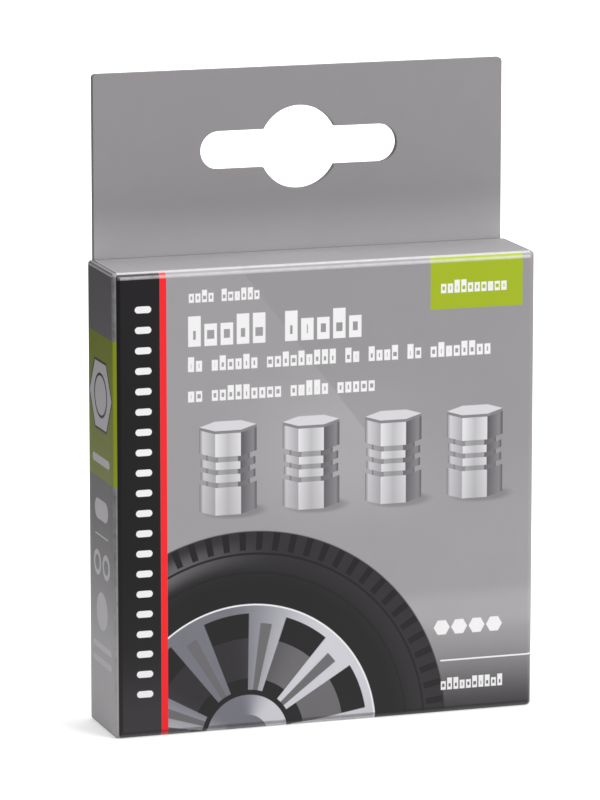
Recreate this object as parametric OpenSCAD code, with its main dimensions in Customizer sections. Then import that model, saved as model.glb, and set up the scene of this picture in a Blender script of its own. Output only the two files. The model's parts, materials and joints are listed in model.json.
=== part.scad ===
// Hanging carton of folded board with a double-ply header, a lid at each end
// and four hexagonal valve caps standing inside.
// The front of the carton faces -Y, and the origin is at the middle of its base.

/* [Carton] */
// Outside width of the carton, across its front
carton_w = 68.2; // [62:0.2:90]
// Outside depth of the carton, from front to back
carton_d = 14.8; // [14.4:0.2:24]
// Outside height of the carton, without its header
carton_h = 72.6; // [50:0.2:110]
// Thickness of the board
board_t = 0.5; // [0.4:0.05:0.6]
// Outer radius of every fold
fold_r = 1; // [0.9:0.05:1.3]
// Thickness of the glue between two plies
glue_t = 0.05; // [0.02:0.01:0.1]
// How far the glue stays inside the edges of its plies
glue_inset = 0.6; // [0.3:0.1:2]
// How far the outer back ply stops short of the right side
seam_inset = 0.7; // [0.4:0.1:2]
// How far the back plies stop above the base
back_foot_gap = 0.3; // [0.2:0.1:1]

/* [Header] */
// Height of the header above the top of the carton
header_h = 28.6; // [24:0.2:45]
// How far each side of the header stands in from the carton's side
header_inset = 0.9; // [0.3:0.1:3]
// Radius of the header's top corners
header_corner_r = 0.6; // [0.3:0.1:5]
// Overall length of the hang slot
slot_l = 32; // [28:0.5:36]
// Height of the hang slot
slot_w = 6; // [5:0.5:8]
// Diameter of the round hole at the middle of the slot
slot_hole_d = 13; // [10:0.5:14]
// Distance from the header's top edge down to the middle of the slot
slot_drop = 12.6; // [10:0.2:16]

/* [Lids] */
// How far each raw edge of a lid stands in from the carton's side
lid_inset = 0.7; // [0.6:0.1:1]
// Length of a lid's tuck, along its curve
tuck_len = 7.5; // [5:0.5:8]
// Radius of the tuck's free corners
tuck_corner_r = 4; // [1:0.5:5]
// Gap between a side fold and the edge of the tuck
tuck_side_gap = 0.3; // [0.2:0.1:1]
// Gap between the tuck and the back of the carton
tuck_back_gap = 0.2; // [0.15:0.05:0.4]
// Gap between a lid and the dust flaps under it
closure_gap = 0.05; // [0.03:0.01:0.1]

/* [Dust flaps] */
// Length of a dust flap, from the carton's side to its tip
dust_len = 25; // [24:0.5:28]
// How much narrower a dust flap is at its tip
dust_taper = 2; // [0:0.5:3]
// Radius of the corners at its tip
dust_corner_r = 2; // [1:0.5:4]
// Gap between a dust flap's edges and the folds of the lid
dust_edge_gap = 0.1; // [0.1:0.05:0.4]

/* [Valve caps] */
// Size of a cap's hexagon across its flats
cap_af = 9; // [8.8:0.1:9.4]
// Height of a cap
cap_h = 16; // [14:0.5:20]
// Radius of its domed top
cap_dome_r = 7.6; // [7:0.1:12]
// Diameter of the round collar at its mouth
collar_d = 8.6; // [8.2:0.1:8.8]
// Height of the collar
collar_h = 1.3; // [0.8:0.1:2]
// Diameter at the bottom of the two turned grooves
groove_d = 8.4; // [8.1:0.1:8.8]
// Width of a groove at its bottom
groove_w = 0.6; // [0.3:0.1:0.8]
// Height of the lower groove's middle above the mouth
groove_low_z = 5.6; // [4.5:0.1:6]
// Distance between the two grooves
groove_pitch = 2.5; // [2.2:0.1:3]
// Diameter of the bore for the valve's thread
bore_d = 7.1; // [7:0.05:7.4]
// Depth of the bore
bore_depth = 9.5; // [8:0.5:11]
// Widening of the bore at its mouth
bore_chamfer = 0.4; // [0.2:0.1:0.5]
// Thickness of the seal at the end of the bore
seal_t = 1; // [0.6:0.1:1.5]
// Diameter of the hole in the seal
seal_hole_d = 3; // [2:0.2:4]
// Gap between the seal's rim and the bore
seal_gap = 0.05; // [0.02:0.01:0.1]
// Gap between the caps and the inside of the carton
cap_wall_gap = 0.3; // [0.2:0.1:0.5]

/* [Hidden] */
$fn = 64;
// Overlap that keeps a cutting shape's faces off the faces that it cuts
eps = 0.01;

half_w = carton_w / 2;
half_d = carton_d / 2;
inner_r = fold_r - board_t;
// Middles of the front and back folds, in Y, and of the side folds, in X
front_fold_y = -half_d + fold_r;
back_fold_y = half_d - fold_r;
side_fold_x = half_w - fold_r;
// Face of the glued inner back ply on which the tucks slide
inner_ply_y = half_d - board_t - glue_t;
back_face_y = inner_ply_y - board_t;
// Depths below a lid's outer face: the dust flap's top, its fold's middle and the end of the corner folds
dust_drop = board_t + closure_gap;
side_drop = dust_drop + fold_r;
corner_drop = side_drop - fold_r / 2;

// A lid turns about a line on the outside of its fold, halfway round it
hinge_deg = 135;
hinge_y = front_fold_y + fold_r * cos(hinge_deg);
hinge_drop = fold_r - fold_r * sin(hinge_deg);
// The tuck is bowed about that line, so that it slides out along its own curve
tuck_r = back_face_y - tuck_back_gap - hinge_y;
tuck_start_deg = -asin((fold_r - hinge_drop) / (tuck_r - fold_r));
tuck_deg = tuck_len / tuck_r * 180 / PI;
tuck_end_deg = tuck_start_deg - tuck_deg;
tuck_fold_y = hinge_y + (tuck_r - fold_r) * cos(tuck_start_deg);
tuck_reach = hinge_drop - tuck_r * sin(tuck_end_deg);
lid_half_w = half_w - lid_inset;
tuck_half_w = side_fold_x - tuck_side_gap;

// Dust flaps lie between the lid's two folds
dust_front_y = front_fold_y + dust_edge_gap;
dust_back_y = tuck_fold_y - dust_edge_gap;
dust_tip_x = half_w - dust_len;

header_half_w = half_w - header_inset;
header_top_z = carton_h + header_h;
slot_z = header_top_z - slot_drop;

// Caps stand on the bottom dust flaps, two on each, with their flats against the front
cap_ac = cap_af / cos(30);
cap_base_z = dust_drop + board_t;
cap_y = -half_d + board_t + cap_wall_gap + cap_af / 2;
cap_inner_x = dust_tip_x + collar_d / 2;
cap_outer_x = half_w - board_t - cap_wall_gap - cap_ac / 2;
cap_xs = [-cap_outer_x, -cap_inner_x, cap_inner_x, cap_outer_x];

// Part of a ring between two angles that lie less than 180 degrees apart
module ring_sector(outer_r, inner_r, from_deg, to_deg) {
    reach = 2 * outer_r;
    intersection() {
        difference() {
            circle(outer_r);
            circle(inner_r);
        }
        polygon([
            [0, 0],
            for (a = [from_deg, (from_deg + to_deg) / 2, to_deg]) [reach * cos(a), reach * sin(a)],
        ]);
    }
}

// Section of a board bent round a fold, with its middle at a given point
module bend(middle, from_deg, to_deg) {
    translate(middle) ring_sector(fold_r, inner_r, from_deg, to_deg);
}

// A rectangle given by two of its corners
module span(low, high) {
    translate(low) square(high - low);
}

// Extrudes a section drawn in Y and Z along X, centred
module along_x(width) {
    rotate([90, 0, 90]) linear_extrude(width, center = true) children();
}

// Extrudes an outline drawn in X and Z along Y, from one place to another
module along_y(from_y, to_y) {
    translate([0, to_y, 0]) rotate([90, 0, 0]) linear_extrude(to_y - from_y) children();
}

// Extrudes a plan upwards from one height to another
module upright(from_z, to_z) {
    translate([0, 0, from_z]) linear_extrude(to_z - from_z) children();
}

// A straight flap with two rounded corners at its tip, along +X from the origin
module flap_outline(length, width, corner_r) {
    span([0, -width / 2], [length - corner_r, width / 2]);
    span([0, -width / 2 + corner_r], [length, width / 2 - corner_r]);
    for (side = [-1, 1])
        translate([length - corner_r, side * (width / 2 - corner_r)]) circle(corner_r);
}

// Outline of the hang slot, grown on all sides by a margin
module slot_outline(margin = 0) {
    end_r = slot_w / 2 + margin;
    end_x = slot_l / 2 - slot_w / 2;
    translate([0, slot_z]) {
        span([-end_x, -end_r], [end_x, end_r]);
        for (side = [-1, 1]) translate([side * end_x, 0]) circle(end_r);
        circle(slot_hole_d / 2 + margin);
    }
}

// Outline of one ply of the header, shrunk on all sides by a margin
module header_outline(margin = 0) {
    half = header_half_w - margin;
    top = header_top_z - margin;
    foot = carton_h - dust_drop;
    span([-half, foot], [half, top - header_corner_r]);
    span([-half + header_corner_r, foot], [half - header_corner_r, top]);
    for (side = [-1, 1])
        translate([side * (half - header_corner_r), top - header_corner_r]) circle(header_corner_r);
}

// Both sides and the four upright folds, in plan
module side_plan() {
    span([-half_w, front_fold_y], [-half_w + board_t, back_fold_y]);
    span([half_w - board_t, front_fold_y], [half_w, inner_ply_y - fold_r]);
}
module corner_plan() {
    bend([-side_fold_x, front_fold_y], 180, 270);
    bend([side_fold_x, front_fold_y], 270, 360);
    bend([-side_fold_x, back_fold_y], 90, 180);
    bend([side_fold_x, inner_ply_y - fold_r], 0, 90);
}

// The two back plies with the glue between them, which go on up as the header
module back_panel() {
    panel_top = carton_h - dust_drop;
    along_y(inner_ply_y + glue_t, half_d) {
        span([-side_fold_x, back_foot_gap], [half_w - seam_inset, panel_top]);
        header_outline();
    }
    along_y(back_face_y, inner_ply_y) {
        span([-side_fold_x, back_foot_gap], [side_fold_x, panel_top]);
        header_outline();
    }
    along_y(inner_ply_y, inner_ply_y + glue_t) difference() {
        union() {
            span([-side_fold_x + glue_inset, back_foot_gap + glue_inset], [side_fold_x - glue_inset, panel_top]);
            header_outline(glue_inset);
        }
        slot_outline(glue_inset);
    }
}

// One end of the body, seen as its top: z = 0 is the outer face of the closed lid
module body_end() {
    along_x(2 * lid_half_w) bend([front_fold_y, -fold_r], hinge_deg, 180);
    for (side = [0, 1]) mirror([side, 0, 0]) {
        along_y(front_fold_y, side == 0 ? back_fold_y : inner_ply_y - fold_r)
            bend([-side_fold_x, -side_drop], 90, 180);
        dust_flap();
    }
}

// The flat part of the left dust flap, tapered along its back edge
module dust_flap() {
    length = side_fold_x - dust_tip_x;
    width = dust_back_y - dust_front_y;
    translate([-side_fold_x, (dust_front_y + dust_back_y) / 2, -dust_drop - board_t])
        linear_extrude(board_t) intersection() {
            flap_outline(length, width, dust_corner_r);
            polygon([
                [-eps, -width],
                [-eps, width / 2 + eps],
                [length + eps, width / 2 - dust_taper],
                [length + eps, -width],
            ]);
        }
}

module carton_body() {
    color("dimgray") difference() {
        union() {
            upright(fold_r, carton_h - fold_r) span([-side_fold_x, -half_d], [side_fold_x, -half_d + board_t]);
            upright(side_drop, carton_h - side_drop) side_plan();
            upright(corner_drop, carton_h - corner_drop) corner_plan();
            back_panel();
            translate([0, 0, carton_h]) body_end();
            mirror([0, 0, 1]) body_end();
        }
        along_y(back_face_y - eps, half_d + eps) slot_outline();
    }
}

// A lid with its tuck, seen as the top one: z = 0 is its outer face
module lid() {
    along_x(2 * lid_half_w) {
        bend([front_fold_y, -fold_r], 90, hinge_deg);
        span([front_fold_y, -board_t], [tuck_fold_y, 0]);
    }
    intersection() {
        along_x(2 * tuck_half_w) {
            bend([tuck_fold_y, -fold_r], tuck_start_deg, 90);
            translate([hinge_y, -hinge_drop])
                ring_sector(tuck_r, tuck_r - board_t, tuck_end_deg, tuck_start_deg);
        }
        along_y(front_fold_y, half_d)
            rotate(-90) flap_outline(tuck_reach, 2 * tuck_half_w, tuck_corner_r);
    }
}

module top_lid() {
    color("gray") translate([0, 0, carton_h]) lid();
}

module bottom_lid() {
    color("gray") mirror([0, 0, 1]) lid();
}

// A ring that cuts one turned groove, wider towards the outside
module groove() {
    bottom_r = groove_d / 2;
    outer_r = cap_ac / 2 + eps;
    flare = (outer_r - bottom_r) / 2;
    rotate_extrude() polygon([
        [bottom_r, -groove_w / 2],
        [outer_r, -groove_w / 2 - flare],
        [outer_r, groove_w / 2 + flare],
        [bottom_r, groove_w / 2],
    ]);
}

// A cap with its mouth at z = 0
module valve_cap() {
    color("silver") difference() {
        union() {
            intersection() {
                translate([0, 0, collar_h]) cylinder(cap_h - collar_h, d = cap_ac, $fn = 6);
                // The top is turned to a dome, which leaves an arch on each flat
                union() {
                    translate([0, 0, cap_h - cap_dome_r]) sphere(cap_dome_r);
                    cylinder(cap_h - cap_dome_r, r = cap_dome_r);
                }
                // The foot of the hexagon is turned to a cone that meets the collar
                translate([0, 0, collar_h]) cylinder(cap_h, d1 = collar_d, d2 = collar_d + 2 * cap_h);
            }
            cylinder(collar_h + eps, d = collar_d);
        }
        for (z = [groove_low_z, groove_low_z + groove_pitch]) translate([0, 0, z]) groove();
        translate([0, 0, -eps]) cylinder(bore_depth + eps, d = bore_d);
        translate([0, 0, -eps])
            cylinder(bore_chamfer + eps, d1 = bore_d + 2 * (bore_chamfer + eps), d2 = bore_d);
    }
}

// The rubber ring on which a valve's tip closes, at the end of the bore
module cap_seal() {
    color("black") translate([0, 0, bore_depth - seal_t]) difference() {
        cylinder(seal_t, d = bore_d - 2 * seal_gap);
        translate([0, 0, -eps]) cylinder(seal_t + 2 * eps, d = seal_hole_d);
    }
}

module at_cap(number) {
    translate([cap_xs[number - 1], cap_y, cap_base_z]) children();
}

carton_body();
top_lid();
bottom_lid();
for (number = [1:4]) {
    at_cap(number) valve_cap();
    at_cap(number) cap_seal();
}
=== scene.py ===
import bisect
import copy
import json
import math

import bmesh
import bpy
from mathutils import Matrix, Vector

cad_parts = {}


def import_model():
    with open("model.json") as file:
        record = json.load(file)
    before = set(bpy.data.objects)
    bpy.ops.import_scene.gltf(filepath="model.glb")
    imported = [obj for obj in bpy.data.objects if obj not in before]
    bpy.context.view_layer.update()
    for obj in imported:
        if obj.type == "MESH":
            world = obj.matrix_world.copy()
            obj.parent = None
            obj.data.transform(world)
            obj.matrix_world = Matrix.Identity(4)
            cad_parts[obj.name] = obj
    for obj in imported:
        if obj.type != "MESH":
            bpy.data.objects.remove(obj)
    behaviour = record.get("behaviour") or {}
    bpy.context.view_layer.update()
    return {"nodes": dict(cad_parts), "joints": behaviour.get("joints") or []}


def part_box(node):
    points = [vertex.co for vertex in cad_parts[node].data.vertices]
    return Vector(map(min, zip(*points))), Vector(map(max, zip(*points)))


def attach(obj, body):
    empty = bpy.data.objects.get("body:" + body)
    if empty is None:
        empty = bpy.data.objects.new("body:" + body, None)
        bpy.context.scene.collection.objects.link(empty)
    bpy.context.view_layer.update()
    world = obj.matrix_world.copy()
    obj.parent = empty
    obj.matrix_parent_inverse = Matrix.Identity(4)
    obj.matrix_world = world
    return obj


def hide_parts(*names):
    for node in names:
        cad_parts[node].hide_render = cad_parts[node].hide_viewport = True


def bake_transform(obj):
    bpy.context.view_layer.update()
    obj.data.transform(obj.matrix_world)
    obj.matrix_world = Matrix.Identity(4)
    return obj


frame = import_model()

# Lengths below are in millimetres, and MM turns them into Blender's metres
MM = 0.001

# Sizes of the carton, read from the frame
body_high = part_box("carton_body")[1] / MM
lid_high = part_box("top_lid")[1] / MM
hinge = next(joint["pos_m"] for joint in frame["joints"] if joint["name"] == "top_lid_fold")
HALF_W = body_high.x
HALF_D = body_high.y
CARTON_H = lid_high.z
HEADER_TOP = body_high.z
LID_HALF_W = lid_high.x
HINGE_Y = hinge[1] / MM
HINGE_DROP = CARTON_H - hinge[2] / MM
CAPS = sum(name.startswith("valve_cap") for name in frame["nodes"])

# Board
BOARD_T = 0.5
PLY_GAP = 0.05
FOLD = 1.0
INNER_PLY_Y = HALF_D - BOARD_T - PLY_GAP
BACK_FOOT = 0.3
SEAM_X = HALF_W - 0.7
EDGE_ROUND = 0.06
MERGE = 0.002
SHARP_ANGLE = math.radians(50)

# Steps of the mesh, along and across the panels
BEND_STEPS = 5
ROWS = 24
FRONT_COLUMNS = 20
LID_COLUMNS = 24
FLAP_COLUMNS = 8
PANEL_STEPS = 6
TIP_STEPS = 6

# Fold as a bead: a bend, a flat chamfer and a second bend
BEAD_BEND_R = 0.75
BEAD_SETBACK = 1.05
BEAD_TANGENT = BEAD_BEND_R * math.tan(math.radians(22.5))
BEAD_CHAMFER = (BEAD_SETBACK - BEAD_TANGENT) * math.sqrt(2) - 2 * BEAD_TANGENT
BEAD_BEND = BEAD_BEND_R * math.radians(45)
BEAD_LENGTH = BEAD_CHAMFER + 2 * BEAD_BEND
FLAT_HALF_W = HALF_W - BEAD_SETBACK
FLAT_HALF_D = HALF_D - BEAD_SETBACK
# How far a corner's crushed tip stays under the lid's fold
CRUSH_GAP = 0.06
# The side's fold bulges beside the lid's raw edge: its bends, its chamfer and its drop to the flap,
# and the share of its tangent that eases the drop into the flap
RIDGE_R = 0.3
RIDGE_CHAMFER = 0.2
RIDGE_TOP_DROP = 0.02
RIDGE_FALL_DEG = 75
RIDGE_EASE = 0.3

# Header and its slot
HEADER_HALF_W = HALF_W - 0.9
HEADER_RIGHT = HEADER_HALF_W + 0.15
HEADER_CORNER_R = 0.6
SLOT_Z = HEADER_TOP - 12.6
SLOT_HALF_L = 16
SLOT_R = 3
SLOT_HOLE_R = 6.5

# Lids, their tucks and the dust flaps; CUT_BACK is how far before a fold's end the cut starts
DUST_DROP = BOARD_T + 0.05
TUCK_GAP = 0.2
TUCK_R = INNER_PLY_Y - BOARD_T - TUCK_GAP - HINGE_Y
TUCK_LEN = 7.5
TUCK_CORNER_R = 4
TUCK_HALF_W = HALF_W - FOLD - 0.3
BACK_FOLD_R = 0.32
TUCK_CUT_BACK = BACK_FOLD_R * 1.2
TUCK_START = math.degrees(math.asin((BACK_FOLD_R - HINGE_DROP) / (TUCK_R - BACK_FOLD_R)))
TUCK_FOLD_Y = HINGE_Y + (TUCK_R - BACK_FOLD_R) * math.cos(math.radians(TUCK_START))
DUST_TIP_X = HALF_W - 25
DUST_TAPER = 2
DUST_CORNER_R = 2
DUST_FRONT_Y = -HALF_D + FOLD + 0.1
DUST_BACK_Y = TUCK_FOLD_Y - 0.8
DUST_CUT_BACK = 0.2

# Flat coordinates of the print: u across the front from its middle, and v up from the base
SIDE_START = -FLAT_HALF_W - BEAD_LENGTH
SIDE_MIDDLE = SIDE_START - FLAT_HALF_D
SIDE_END = SIDE_START - 2 * FLAT_HALF_D
FOLD_MIDDLE = FLAT_HALF_W + BEAD_LENGTH / 2
# Where the plain print of the back and the header starts on the flat sheet
BACK_PRINT_U = 110.0
BACK_PRINT_V = -89.0
# The flat sheet fits the unit square of the UV map
UV_SPAN = 260.0
UV_SHIFT = 90.0


def srgb(value):
    """One channel from 0 to 255 as linear light."""
    share = value / 255
    return share / 12.92 if share <= 0.04045 else ((share + 0.055) / 1.055) ** 2.4


def ink(red, green, blue):
    """A colour as four linear channels."""
    return (srgb(red), srgb(green), srgb(blue), 1.0)


def grey(value, less_green=3):
    """A grey, with a little less green as in the carton's inks."""
    return ink(value, value - less_green, value)


class Graph:
    """A short way to write the nodes of a material or a world."""

    def __init__(self, owner):
        owner.use_nodes = True
        self.owner = owner
        self.nodes = owner.node_tree.nodes
        self.links = owner.node_tree.links
        self.shader = self.nodes.get("Principled BSDF")

    def put(self, socket, value):
        if isinstance(value, bpy.types.NodeSocket):
            self.links.new(value, socket)
        else:
            socket.default_value = value

    def surface(self, name, value):
        """Sets a socket of the material's own shader."""
        self.put(self.shader.inputs[name], value)

    def new(self, kind, *values, **settings):
        """A new node with its settings, and with its first inputs filled in."""
        node = self.nodes.new(kind)
        for name, setting in settings.items():
            setattr(node, name, setting)
        for socket, value in zip(node.inputs, values):
            self.put(socket, value)
        return node

    def join(self, kind, *values):
        return self.new(kind, *values).outputs[0]

    def math(self, operation, *values, clamp=False):
        return self.new("ShaderNodeMath", *values, operation=operation, use_clamp=clamp).outputs[0]

    def times(self, first, second):
        return self.math("MULTIPLY", first, second)

    def minus(self, first, second):
        return self.math("SUBTRACT", first, second)

    def larger(self, first, second):
        return self.math("MAXIMUM", first, second)

    def away(self, value, middle):
        """How far a value is from a middle, on either side."""
        return self.math("ABSOLUTE", self.minus(value, middle))

    def vary(self, value, low, span):
        """Turns 0 into low, and 1 into low plus span."""
        return self.math("MULTIPLY_ADD", value, span, low)

    def step(self, value, start, end):
        """0 before start and 1 after end, smooth between them."""
        node = self.new("ShaderNodeMapRange", value, start, end, interpolation_type="SMOOTHSTEP")
        return node.outputs["Result"]

    def mix(self, share, first, second):
        node = self.new("ShaderNodeMix", share, data_type="RGBA")
        self.put(node.inputs[6], first)
        self.put(node.inputs[7], second)
        return node.outputs[2]

    def ramp(self, value, stops, interpolation="LINEAR"):
        """Colours along a value, given as pairs of a place from 0 to 1 and a colour."""
        node = self.new("ShaderNodeValToRGB", value)
        node.color_ramp.interpolation = interpolation
        elements = node.color_ramp.elements
        while len(elements) < len(stops):
            elements.new(1.0)
        for element, (place, colour) in zip(elements, stops):
            element.position = place
            element.color = colour
        return node.outputs[0]

    def noise(self, vector, scale, detail=2.0, roughness=0.5):
        node = self.new("ShaderNodeTexNoise", vector)
        for name, value in (("Scale", scale), ("Detail", detail), ("Roughness", roughness)):
            node.inputs[name].default_value = value
        return node.outputs["Fac"]

    def vector_math(self, operation, *values):
        return self.new("ShaderNodeVectorMath", *values, operation=operation)

    def bump(self, height, strength, distance):
        """Raises the surface by a height from 0 to 1, with the distance in millimetres."""
        node = self.new("ShaderNodeBump", strength, distance * MM)
        self.put(node.inputs["Height"], height)
        self.surface("Normal", node.outputs[0])

    def place(self):
        return self.new("ShaderNodeTexCoord").outputs["Object"]

    def flat(self):
        """The flat sheet's coordinates in millimetres, across and up."""
        place = self.new("ShaderNodeUVMap", uv_map="flat").outputs[0]
        parts = self.new("ShaderNodeSeparateXYZ", place).outputs
        return [self.minus(self.times(parts[axis], UV_SPAN), UV_SHIFT) for axis in (0, 1)]


class Print(Graph):
    """Fields of ink on the flat sheet, each painted over those before; soft is half an edge's fade."""

    def __init__(self, owner, colour):
        super().__init__(owner)
        self.u, self.v = self.flat()
        self.colour = colour

    def paint(self, mask, colour):
        self.colour = self.mix(mask, self.colour, colour)

    def above(self, value, edge, soft):
        return self.step(value, edge - soft, edge + soft)

    def below(self, value, edge, soft):
        return self.step(value, edge + soft, edge - soft)

    def field(self, left, right, low, high, soft=0.04):
        inside_u = self.minus(self.above(self.u, left, soft), self.above(self.u, right, soft))
        inside_v = self.minus(self.above(self.v, low, soft), self.above(self.v, high, soft))
        return self.times(inside_u, inside_v)

    def bar(self, u, v, half, height, soft=0.05):
        """A level bar with round ends."""
        radius = height / 2
        beyond = self.larger(self.minus(self.away(self.u, u), half - radius), 0.0)
        return self.below(self.length(beyond, self.minus(self.v, v)), radius, soft)

    def length(self, first, second):
        squares = self.math("ADD", self.times(first, first), self.times(second, second))
        return self.math("SQRT", squares)

    def reach(self, u, v, squash=1.0):
        """Distance from a point, with heights divided by squash."""
        up = self.math("DIVIDE", self.minus(self.v, v), squash)
        return self.length(self.minus(self.u, u), up)

    def disc(self, u, v, radius, soft=0.06):
        return self.below(self.reach(u, v), radius, soft)

    def ring(self, u, v, outer, inner, soft=0.06):
        return self.minus(self.disc(u, v, outer, soft), self.disc(u, v, inner, soft))

    def hexagon(self, u, v, across_flats, soft=0.06):
        """A hexagon with a flat on top, by its size across the flats."""
        du = self.minus(self.u, u)
        dv = self.minus(self.v, v)
        widest = None
        for side in range(3):
            angle = math.radians(30 + 60 * side)
            along = self.times(du, math.cos(angle))
            along = self.math("ABSOLUTE", self.math("MULTIPLY_ADD", dv, math.sin(angle), along))
            widest = along if widest is None else self.larger(widest, along)
        return self.below(widest, across_flats / 2, soft)

    def angle(self, u, v):
        return self.math("ARCTAN2", self.minus(self.v, v), self.minus(self.u, u))

    def at(self, u=None, v=None):
        """The same sheet seen through other coordinates, for masks of repeated marks."""
        other = copy.copy(self)
        other.u = self.u if u is None else u
        other.v = self.v if v is None else v
        return other

    def repeated(self, value, first, pitch, count):
        """Distance from the nearest of a row of marks."""
        along = self.minus(value, first)
        number = self.math("ROUND", self.math("DIVIDE", along, pitch))
        number = self.math("MINIMUM", self.larger(number, 0), count - 1)
        return self.minus(along, self.times(number, pitch))


# Ink colours
GROUND = grey(163)
BLACK = grey(33)
RED = ink(255, 28, 38)
GREEN = ink(168, 188, 26)
WHITE = ink(248, 247, 248)
# Painted highlight and painted shade for the bends of the folds
CREASE_HIGHLIGHT = ink(236, 234, 236)
CREASE_SHADE = ink(12, 11, 13)
SILVER_DARK = ink(112, 110, 113)
SILVER_SHADE = ink(138, 136, 140)

# Edges of the fields of print, on the flat sheet
BAND_LEFT = -FOLD_MIDDLE + 0.2
BAND_RIGHT = -26.8
RED_RIGHT = -25.76
PRINT_FOOT = -3
PRINT_TOP = CARTON_H - BEAD_SETBACK + BEAD_BEND + BEAD_CHAMFER + 0.1
SHEET_LEFT = -80

# Tones of the ground; a fade goes from none to full
GROUND_LIGHT = grey(176)
GROUND_SHADE = grey(150)
GROUND_DARK = grey(60)
HEADER_GROUND = grey(152)
# Painted light: the header grows lighter towards its foot, standing in for light thrown up by the lid
HEADER_FOOT_PAINTED_LIGHT = grey(193)
HEADER_FIELD = (BACK_PRINT_U - HALF_W, BACK_PRINT_U + HALF_W, CARTON_H, HEADER_TOP + 1)
HEADER_LIGHT_FADE = (CARTON_H + 9, CARTON_H - 2)
POOL = (4, 44, 0.62)
POOL_FADE = (26, 6)
POOL_SHARE = 0.85
SHADE_SLOPE = 1.304
SHADE_START = 54.2
SHADE_FADE = (30, 46)
SHADE_SHARE = 0.5
SWATH_V = 16.5
SWATH_FADE = (4, 1)
SWATH_SHARE = 0.8
DARK_FADE_V = (14.4, -0.8)
DARK_FADE_U = (0, 20)


def front_ground(p):
    """Grey ground with a light pool, a slanting line of shade, a light swath and a dark lower right; the
    header has its own grey, with painted light towards its foot.
    """
    p.paint(p.times(p.step(p.reach(*POOL), *POOL_FADE), POOL_SHARE), GROUND_LIGHT)
    on_header = p.field(*HEADER_FIELD)
    p.paint(on_header, HEADER_GROUND)
    # Painted light towards the header's foot
    p.paint(p.times(on_header, p.step(p.v, *HEADER_LIGHT_FADE)), HEADER_FOOT_PAINTED_LIGHT)
    on_front = p.field(RED_RIGHT, FOLD_MIDDLE, PRINT_FOOT, CARTON_H)
    shade = p.above(p.math("MULTIPLY_ADD", p.u, SHADE_SLOPE, p.v), SHADE_START, soft=0.3)
    shade = p.times(shade, p.times(p.step(p.v, *SHADE_FADE), SHADE_SHARE))
    p.paint(p.times(shade, on_front), GROUND_SHADE)
    swath = p.times(p.step(p.away(p.v, SWATH_V), *SWATH_FADE), SWATH_SHARE)
    p.paint(p.times(swath, on_front), GROUND_LIGHT)
    dark = p.times(p.step(p.v, *DARK_FADE_V), p.step(p.u, *DARK_FADE_U))
    p.paint(p.times(dark, on_front), GROUND_DARK)


# Wheel: its middle, and its rings from the tyre's tread in to the hub; turns are in radians
WHEEL = (-13.0, -1.1)
TYRE = grey(49)
TYRE_DARK = grey(31, 2)
TYRE_R = 32.5
TYRE_FADE = (TYRE_R - 9, TYRE_R - 3)
TREAD = (TYRE_R - 0.2, TYRE_R - 3)
TREAD_NOTCHES = 72
NOTCH_EDGE = (0.2, 0.5)
TYRE_LINES = (TYRE_R - 3.4, TYRE_R - 6.4)
TYRE_LINE_W = 0.35
SHEEN = ink(140, 138, 141)
SHEEN_R = 29.0
SHEEN_FADE = (2.8, 0.3)
SHEEN_TURN = (1.35, 2.3)
SHEEN_SHARE = 0.6
RIM_LIGHT = ink(214, 214, 220)
RIM_DARK = ink(122, 122, 132)
RIM_R = TYRE_R - 11.5
RIM_GAP = 0.9
RIM_WALL = 1.5
RIM_GLINT = 0.25
RIM_FADE = (-0.8, 0.9)
BRAKE_DISC = (15.6, 9.2)
SPOKES = 9
SPOKE_R = RIM_R - RIM_WALL + 0.1
SPOKE_EDGE = (0.1, 0.2)
GROOVE_EDGE = (0.86, 0.92)
GROOVE_R = RIM_R - 3
HUB_RADII = (7.4, 6.6, 3.4)


def wheel(p):
    """A plain wheel of rings and even spokes, cut off by the foot of the front."""
    on_front = p.field(RED_RIGHT, HALF_W, PRINT_FOOT, CARTON_H)
    turn = p.angle(*WHEEL)

    def paint(mask, colour):
        p.paint(p.times(mask, on_front), colour)

    def repeats(wave, count, edge):
        """Even marks round the wheel."""
        return p.step(p.math(wave, p.times(turn, count)), *edge)

    rubber = p.mix(p.step(p.reach(*WHEEL), *TYRE_FADE), TYRE_DARK, TYRE)
    paint(p.disc(*WHEEL, TYRE_R, soft=0.15), rubber)
    lit = p.step(p.math("SINE", p.vary(turn, low=0.5, span=2)), *RIM_FADE)
    metal = p.mix(lit, RIM_DARK, RIM_LIGHT)
    sheen = p.times(p.step(p.away(p.reach(*WHEEL), SHEEN_R), *SHEEN_FADE), p.step(turn, *SHEEN_TURN))
    paint(p.times(sheen, SHEEN_SHARE), SHEEN)
    paint(p.times(p.ring(*WHEEL, *TREAD), repeats("SINE", TREAD_NOTCHES, NOTCH_EDGE)), TYRE_DARK)
    for outer in TYRE_LINES:
        paint(p.ring(*WHEEL, outer, outer - TYRE_LINE_W), TYRE_DARK)
    paint(p.ring(*WHEEL, RIM_R + RIM_GAP, RIM_R), TYRE_DARK)
    paint(p.ring(*WHEEL, RIM_R, RIM_R - RIM_WALL, soft=0.1), metal)
    paint(p.ring(*WHEEL, RIM_R, RIM_R - RIM_GLINT), WHITE)
    paint(p.disc(*WHEEL, RIM_R - RIM_WALL), TYRE_DARK)
    paint(p.ring(*WHEEL, *BRAKE_DISC), p.mix(lit, TYRE, SILVER_DARK))
    paint(p.times(p.disc(*WHEEL, SPOKE_R), repeats("COSINE", SPOKES, SPOKE_EDGE)), metal)
    paint(p.times(p.disc(*WHEEL, GROOVE_R), repeats("COSINE", SPOKES, GROOVE_EDGE)), SILVER_DARK)
    for radius, colour in zip(HUB_RADII, (TYRE_DARK, metal, RIM_DARK)):
        paint(p.disc(*WHEEL, radius), colour)


# Pictured caps: the first one's middle, their pitch, foot and height
CAP_ROW = (-16.0, 13.4, 34.2, 13.2)
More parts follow.
